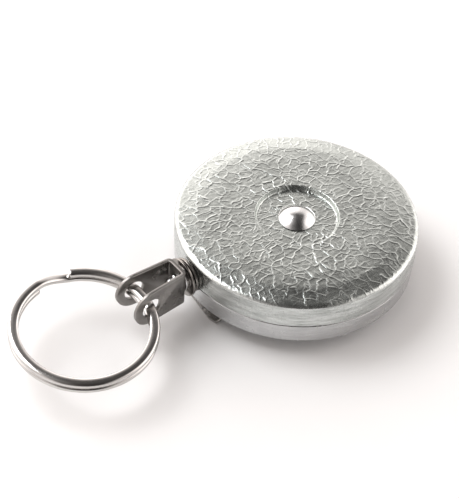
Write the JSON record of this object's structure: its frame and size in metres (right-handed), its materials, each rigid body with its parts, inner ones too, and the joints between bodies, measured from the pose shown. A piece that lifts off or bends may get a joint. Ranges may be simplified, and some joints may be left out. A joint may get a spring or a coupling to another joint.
{
  "type": "retractable badge reel",
  "caption": "Round steel retractable reel with a crackle-textured cover, a belt clip on the back, a sprung cord drum inside, and a swivelling yoke that carries a split key ring.",
  "frame": {"origin": "on the case axis, on the plane of the belt clip's flat outer face, which the reel rests on", "axes": "+Z along the case axis, out through the front cover; +X from the case axis towards the cord outlet"},
  "size_m": [0.1026, 0.0572, 0.0168],
  "materials": {
    "cover_chrome": "satin chrome with raised crackle veins",
    "band_chrome": "smooth satin chrome",
    "rivet_steel": "polished",
    "turned_steel": "turned",
    "clip_steel": "nickel-plated spring steel",
    "spring_steel": "blued spring steel",
    "drum_plastic": "moulded acetal",
    "nylon_white": "natural nylon",
    "cord_braid": "braided nylon",
    "eyelet_nickel": "nickel plated",
    "yoke_nickel": "nickel-plated strip, slightly tarnished",
    "ring_nickel": "polished nickel"
  },
  "bodies": {
    "case": {"front_cover": "cover_chrome", "back_cover": "band_chrome", "center_rivet": "rivet_steel", "spring_arbor": "turned_steel", "lower_thrust_washer": "nylon_white", "upper_thrust_washer": "nylon_white", "clip_base": "clip_steel", "clip_rivet": "rivet_steel", "outlet_eyelet": "eyelet_nickel", "outlet_liner": "nylon_white", "cord_inner_run": "cord_braid"},
    "clip": {"clip_tongue": "clip_steel"},
    "drum": {"drum_body": "drum_plastic", "drum_lid": "drum_plastic", "drum_screws": "turned_steel", "power_spring": "spring_steel", "cord_winding": "cord_braid", "cord_anchor": "turned_steel"},
    "fitting": {"cord_outlet_run": "cord_braid", "stop_washer": "eyelet_nickel", "swivel_eyelet": "eyelet_nickel", "cord_ferrule": "turned_steel"},
    "yoke": {"yoke": "yoke_nickel"},
    "ring": {"split_ring": "ring_nickel"}
  },
  "joints": [
    {"name": "cord_pull", "type": "slide", "parent": "case", "child": "fitting", "axis": [0.9925, 0.1219, 0], "range_m": [0, 0.6], "stiffness_N_per_m": 3, "springref_m": -0.6, "deforming": ["cord_outlet_run", "cord_inner_run"]},
    {"name": "drum_spin", "type": "hinge", "parent": "case", "child": "drum", "pos_m": [0, 0, 0.0099], "axis": [0, 0, 1], "range_deg": [0, 2015], "deforming": ["power_spring", "cord_winding"]},
    {"name": "clip_flex", "type": "hinge", "parent": "case", "child": "clip", "pos_m": [-0.0239, 0, 0.00045], "axis": [0, 1, 0], "range_deg": [0, 6], "stiffness_Nm_per_rad": 12, "springref_deg": -0.57},
    {"name": "yoke_swivel", "type": "hinge", "parent": "fitting", "child": "yoke", "pos_m": [0.0316, 0, 0.0099], "axis": [0.9925, 0.1219, 0], "continuous": true},
    {"name": "ring_swing", "type": "hinge", "parent": "yoke", "child": "ring", "pos_m": [0.04167, 0.00124, 0.0099], "axis": [-0.1219, 0.9925, 0], "range_deg": [-120, 120]}
  ],
  "couplings": [
    {"joint": "drum_spin", "follows": "cord_pull", "rad_per_m": 58.5}
  ]
}
